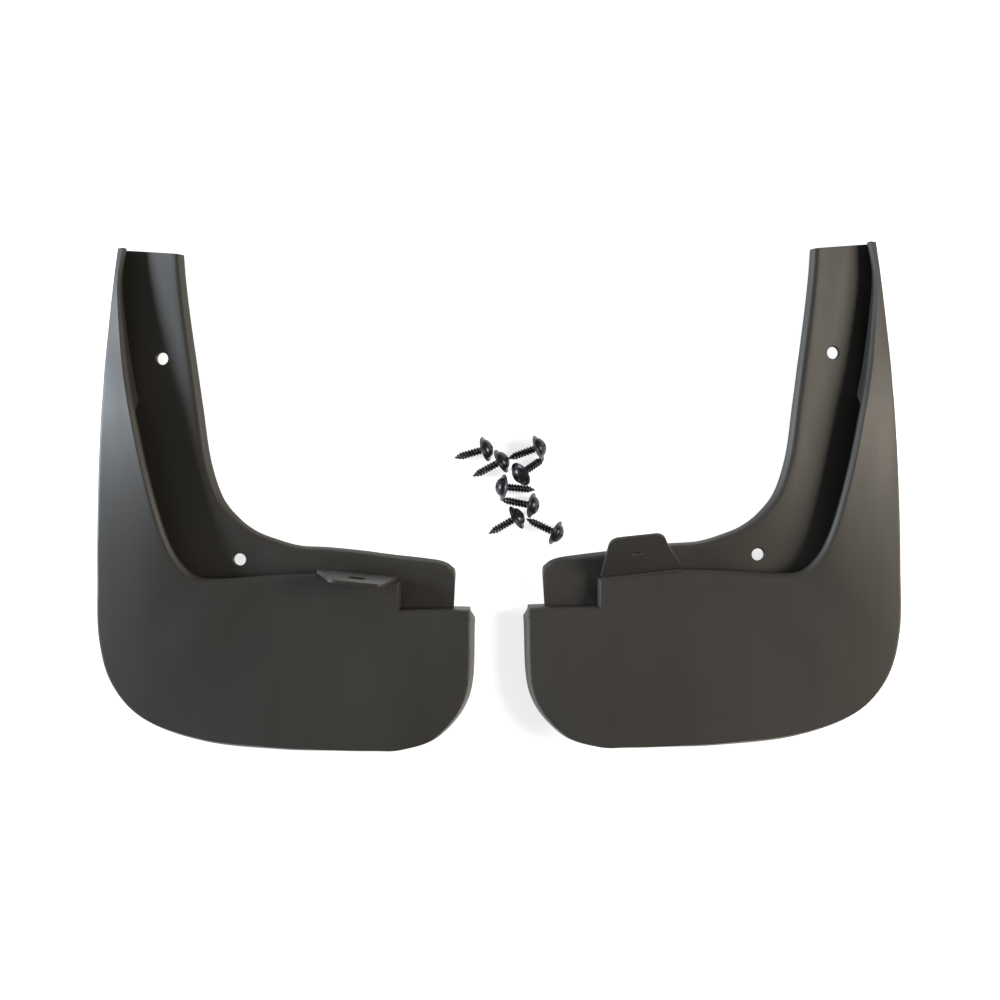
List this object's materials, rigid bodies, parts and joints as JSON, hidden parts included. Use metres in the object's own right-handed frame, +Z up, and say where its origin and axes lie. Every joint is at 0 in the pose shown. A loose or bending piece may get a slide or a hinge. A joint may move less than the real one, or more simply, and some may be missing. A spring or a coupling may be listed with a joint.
{
  "type": "mud flap set",
  "caption": "Left and right moulded plastic mud flaps for a car, with return lip, screw flange and folding slotted tab, and their self-tapping fixing screws.",
  "frame": {"origin": "middle of the whole set on the surface that it lies on", "axes": "+X from the left flap to the right flap, +Y from the panels to the wing tips, +Z up out of the show faces"},
  "size_m": [0.441, 0.2781, 0.0406],
  "materials": {
    "moulded_plastic": "fine-grained satin black, injection moulded",
    "screw_steel": "black zinc coated steel, semi-gloss"
  },
  "bodies": {
    "left_flap": {"left_mud_flap": "moulded_plastic"},
    "left_tab": {"left_mounting_tab": "moulded_plastic"},
    "right_flap": {"right_mud_flap": "moulded_plastic"},
    "right_tab": {"right_mounting_tab": "moulded_plastic"},
    "screw_1": {"screw_1": "screw_steel"},
    "screw_2": {"screw_2": "screw_steel"},
    "screw_3": {"screw_3": "screw_steel"},
    "screw_4": {"screw_4": "screw_steel"},
    "screw_5": {"screw_5": "screw_steel"},
    "screw_6": {"screw_6": "screw_steel"},
    "screw_7": {"screw_7": "screw_steel"},
    "screw_8": {"screw_8": "screw_steel"}
  },
  "joints": [
    {"name": "left_tab_fold", "type": "hinge", "parent": "left_flap", "child": "left_tab", "pos_m": [-0.0552, -0.04354, 0.0158], "axis": [-0.9952, 0.0977, 0], "range_deg": [-6, 95], "stiffness_Nm_per_rad": 0.1},
    {"name": "right_tab_fold", "type": "hinge", "parent": "right_flap", "child": "right_tab", "pos_m": [0.05486, -0.04187, 0.0158], "axis": [-0.9939, -0.1099, 0], "range_deg": [-66, 36], "stiffness_Nm_per_rad": 0.1},
    {"name": "right_flap_lift", "type": "slide", "parent": "left_flap", "child": "right_flap", "axis": [0, 0, 1], "range_m": [0, 0.06]},
    {"name": "screw_1_lift", "type": "slide", "parent": "left_flap", "child": "screw_1", "axis": [0, 0, 1], "range_m": [0, 0.03]},
    {"name": "screw_2_lift", "type": "slide", "parent": "screw_3", "child": "screw_2", "axis": [0, 0, 1], "range_m": [0, 0.03]},
    {"name": "screw_3_lift", "type": "slide", "parent": "screw_4", "child": "screw_3", "axis": [0, 0, 1], "range_m": [0, 0.03]},
    {"name": "screw_4_lift", "type": "slide", "parent": "screw_5", "child": "screw_4", "axis": [0, 0, 1], "range_m": [0, 0.03]},
    {"name": "screw_5_lift", "type": "slide", "parent": "screw_6", "child": "screw_5", "axis": [0, 0, 1], "range_m": [0, 0.03]},
    {"name": "screw_6_lift", "type": "slide", "parent": "left_flap", "child": "screw_6", "axis": [0, 0, 1], "range_m": [0, 0.03]},
    {"name": "screw_7_lift", "type": "slide", "parent": "left_flap", "child": "screw_7", "axis": [0, 0, 1], "range_m": [0, 0.03]},
    {"name": "screw_8_lift", "type": "slide", "parent": "left_flap", "child": "screw_8", "axis": [0, 0, 1], "range_m": [0, 0.03]}
  ]
}
